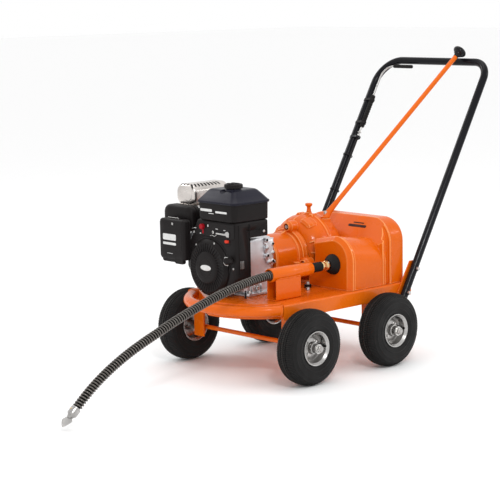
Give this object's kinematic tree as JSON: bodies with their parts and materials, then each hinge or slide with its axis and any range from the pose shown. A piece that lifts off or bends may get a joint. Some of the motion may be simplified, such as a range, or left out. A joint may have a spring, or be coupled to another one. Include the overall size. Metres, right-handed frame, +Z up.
{
  "type": "drain snake machine",
  "caption": "Petrol-engined sectional drain cleaning cart: steel deck on pneumatic wheels, leaning push handle, gearbox, guide tube and spring cable with a cutter head.",
  "frame": {"origin": "on the floor under the middle of the machine's own length and width, without the free cable and its cutter", "axes": "+X from the engine end to the push handle, +Y to the operator's right, +Z up"},
  "size_m": [2.0004, 0.742, 1.1154],
  "materials": {
    "orange_paint": "glossy orange powder coat",
    "orange_plastic": "glossy orange moulding",
    "black_paint": "glossy black powder coat",
    "black_plastic": "satin black moulding",
    "black_gloss": "glossy black ball knob",
    "rubber": "matt black rubber",
    "tyre": "ribbed pneumatic tyre",
    "cast_aluminium": "die-cast, light blasted",
    "steel": "machined steel",
    "cable_steel": "dark oiled spring wire",
    "zinc": "bright zinc plate",
    "brass": "machined brass",
    "red_plastic": "red moulding"
  },
  "bodies": {
    "cart": {"deck_pan": "orange_paint", "front_rail": "orange_paint", "leg_front_left": "orange_paint", "leg_front_right": "orange_paint", "leg_rear_left": "orange_paint", "leg_rear_right": "orange_paint", "front_axle": "orange_paint", "rear_axle": "orange_paint", "axle_nut_front_left": "zinc", "axle_nut_front_right": "zinc", "axle_nut_rear_left": "zinc", "axle_nut_rear_right": "zinc", "handle_bar": "black_paint", "handle_bracket_left": "orange_paint", "handle_bracket_right": "orange_paint", "control_sleeve": "black_plastic", "control_cable": "black_plastic", "engine_block": "cast_aluminium", "crankcase_cover": "cast_aluminium", "cylinder_head": "cast_aluminium", "blower_housing": "black_plastic", "recoil_housing": "black_plastic", "muffler": "zinc", "fuel_tank": "black_plastic", "air_cleaner_base": "black_plastic", "air_cleaner_cover": "black_plastic", "bell_housing": "orange_paint", "gear_case": "orange_paint", "breather_plug": "orange_paint", "drive_cover": "orange_plastic", "cable_boot": "rubber", "spindle_bearing": "steel", "drive_chain": "steel", "guide_tube": "orange_paint", "guide_bracket": "orange_paint", "drain_cable": "cable_steel", "cutter_head": "steel"},
    "wheel_front_left": {"tyre_front_left": "tyre", "rim_front_left": "zinc"},
    "wheel_front_right": {"tyre_front_right": "tyre", "rim_front_right": "zinc"},
    "wheel_rear_left": {"tyre_rear_left": "tyre", "rim_rear_left": "zinc"},
    "wheel_rear_right": {"tyre_rear_right": "tyre", "rim_rear_right": "zinc"},
    "crank": {"crankshaft": "steel", "flywheel": "cast_aluminium"},
    "input": {"input_shaft": "steel"},
    "layshaft": {"drive_gear": "steel"},
    "spindle": {"spindle": "steel", "cable_coupling": "brass"},
    "shift": {"shift_lever": "orange_paint", "shift_knob": "black_gloss", "shift_fork": "steel"},
    "control": {"control_lever": "zinc", "control_grip": "rubber"},
    "starter": {"pull_grip": "black_plastic"},
    "cap": {"fuel_cap": "black_plastic"},
    "choke": {"choke_lever": "red_plastic"},
    "stop": {"stop_switch": "red_plastic"}
  },
  "joints": [
    {"name": "wheel_front_left_spin", "type": "hinge", "parent": "cart", "child": "wheel_front_left", "pos_m": [-0.4185, -0.31, 0.1325], "axis": [0, 1, 0], "continuous": true},
    {"name": "wheel_front_right_spin", "type": "hinge", "parent": "cart", "child": "wheel_front_right", "pos_m": [-0.4185, 0.31, 0.1325], "axis": [0, 1, 0], "continuous": true},
    {"name": "wheel_rear_left_spin", "type": "hinge", "parent": "cart", "child": "wheel_rear_left", "pos_m": [-0.0135, -0.31, 0.1325], "axis": [0, 1, 0], "continuous": true},
    {"name": "wheel_rear_right_spin", "type": "hinge", "parent": "cart", "child": "wheel_rear_right", "pos_m": [-0.0135, 0.31, 0.1325], "axis": [0, 1, 0], "continuous": true},
    {"name": "crank_spin", "type": "hinge", "parent": "cart", "child": "crank", "pos_m": [-0.366, 0.07, 0.381], "axis": [1, 0, 0], "continuous": true},
    {"name": "input_spin", "type": "hinge", "parent": "cart", "child": "input", "pos_m": [-0.116, 0.07, 0.381], "axis": [1, 0, 0], "continuous": true},
    {"name": "layshaft_spin", "type": "hinge", "parent": "cart", "child": "layshaft", "pos_m": [-0.056, 0.02, 0.4335], "axis": [1, 0, 0], "continuous": true},
    {"name": "spindle_spin", "type": "hinge", "parent": "cart", "child": "spindle", "pos_m": [-0.016, -0.152, 0.366], "axis": [1, 0, 0], "continuous": true},
    {"name": "shift_swing", "type": "hinge", "parent": "cart", "child": "shift", "pos_m": [-0.011, 0, 0.5085], "axis": [0, 0, 1], "range_deg": [0, 26.6]},
    {"name": "throttle_slide", "type": "slide", "parent": "cart", "child": "control", "axis": [0.5081, 0, 0.8613], "range_m": [0, 0.005], "stiffness_N_per_m": 400, "springref_m": -0.005},
    {"name": "starter_pull", "type": "slide", "parent": "cart", "child": "starter", "axis": [-0.1007, -0.8858, 0.453], "range_m": [0, 0.6], "stiffness_N_per_m": 16, "springref_m": -0.5},
    {"name": "fuel_cap_turn", "type": "hinge", "parent": "cart", "child": "cap", "pos_m": [-0.478, -0.01, 0.665], "axis": [0, 0, 1], "range_deg": [0, 90]},
    {"name": "choke_swing", "type": "hinge", "parent": "cart", "child": "choke", "pos_m": [-0.5265, 0.1, 0.5], "axis": [1, 0, 0], "range_deg": [0, 40]},
    {"name": "stop_slide", "type": "slide", "parent": "cart", "child": "stop", "axis": [0, 0, -1], "range_m": [0, 0.006]}
  ],
  "couplings": [
    {"joint": "input_spin", "follows": "crank_spin", "ratio": 1},
    {"joint": "layshaft_spin", "follows": "crank_spin", "ratio": -0.5},
    {"joint": "spindle_spin", "follows": "crank_spin", "ratio": -0.28333}
  ]
}
